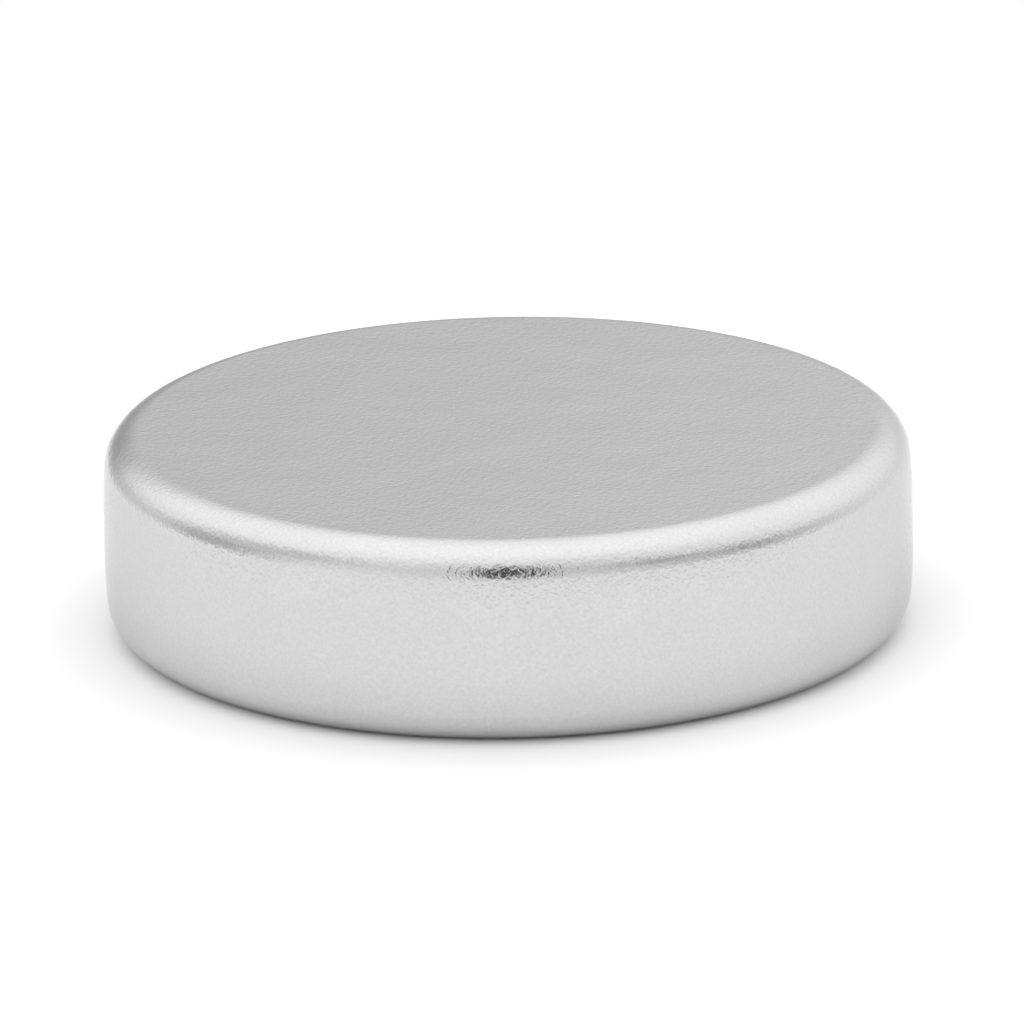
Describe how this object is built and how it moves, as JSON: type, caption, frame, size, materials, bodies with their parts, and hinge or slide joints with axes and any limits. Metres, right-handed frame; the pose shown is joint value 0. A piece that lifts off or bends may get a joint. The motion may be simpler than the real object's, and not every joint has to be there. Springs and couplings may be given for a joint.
{
  "type": "disc magnet",
  "caption": "Flat round disc magnet with tumbled, rounded rims and a satin nickel plating; it grips steel by either pole face or is glued into a round pocket.",
  "frame": {"origin": "middle of the lower pole face, where the magnet rests", "axes": "+Z along the magnet's axis, from the lower pole face to the upper one; X and Y are alike"},
  "size_m": [0.02, 0.02, 0.005],
  "materials": {
    "nickel_plating": "gloss"
  },
  "bodies": {
    "root": {"magnet_disc": "nickel_plating"}
  },
  "joints": []
}
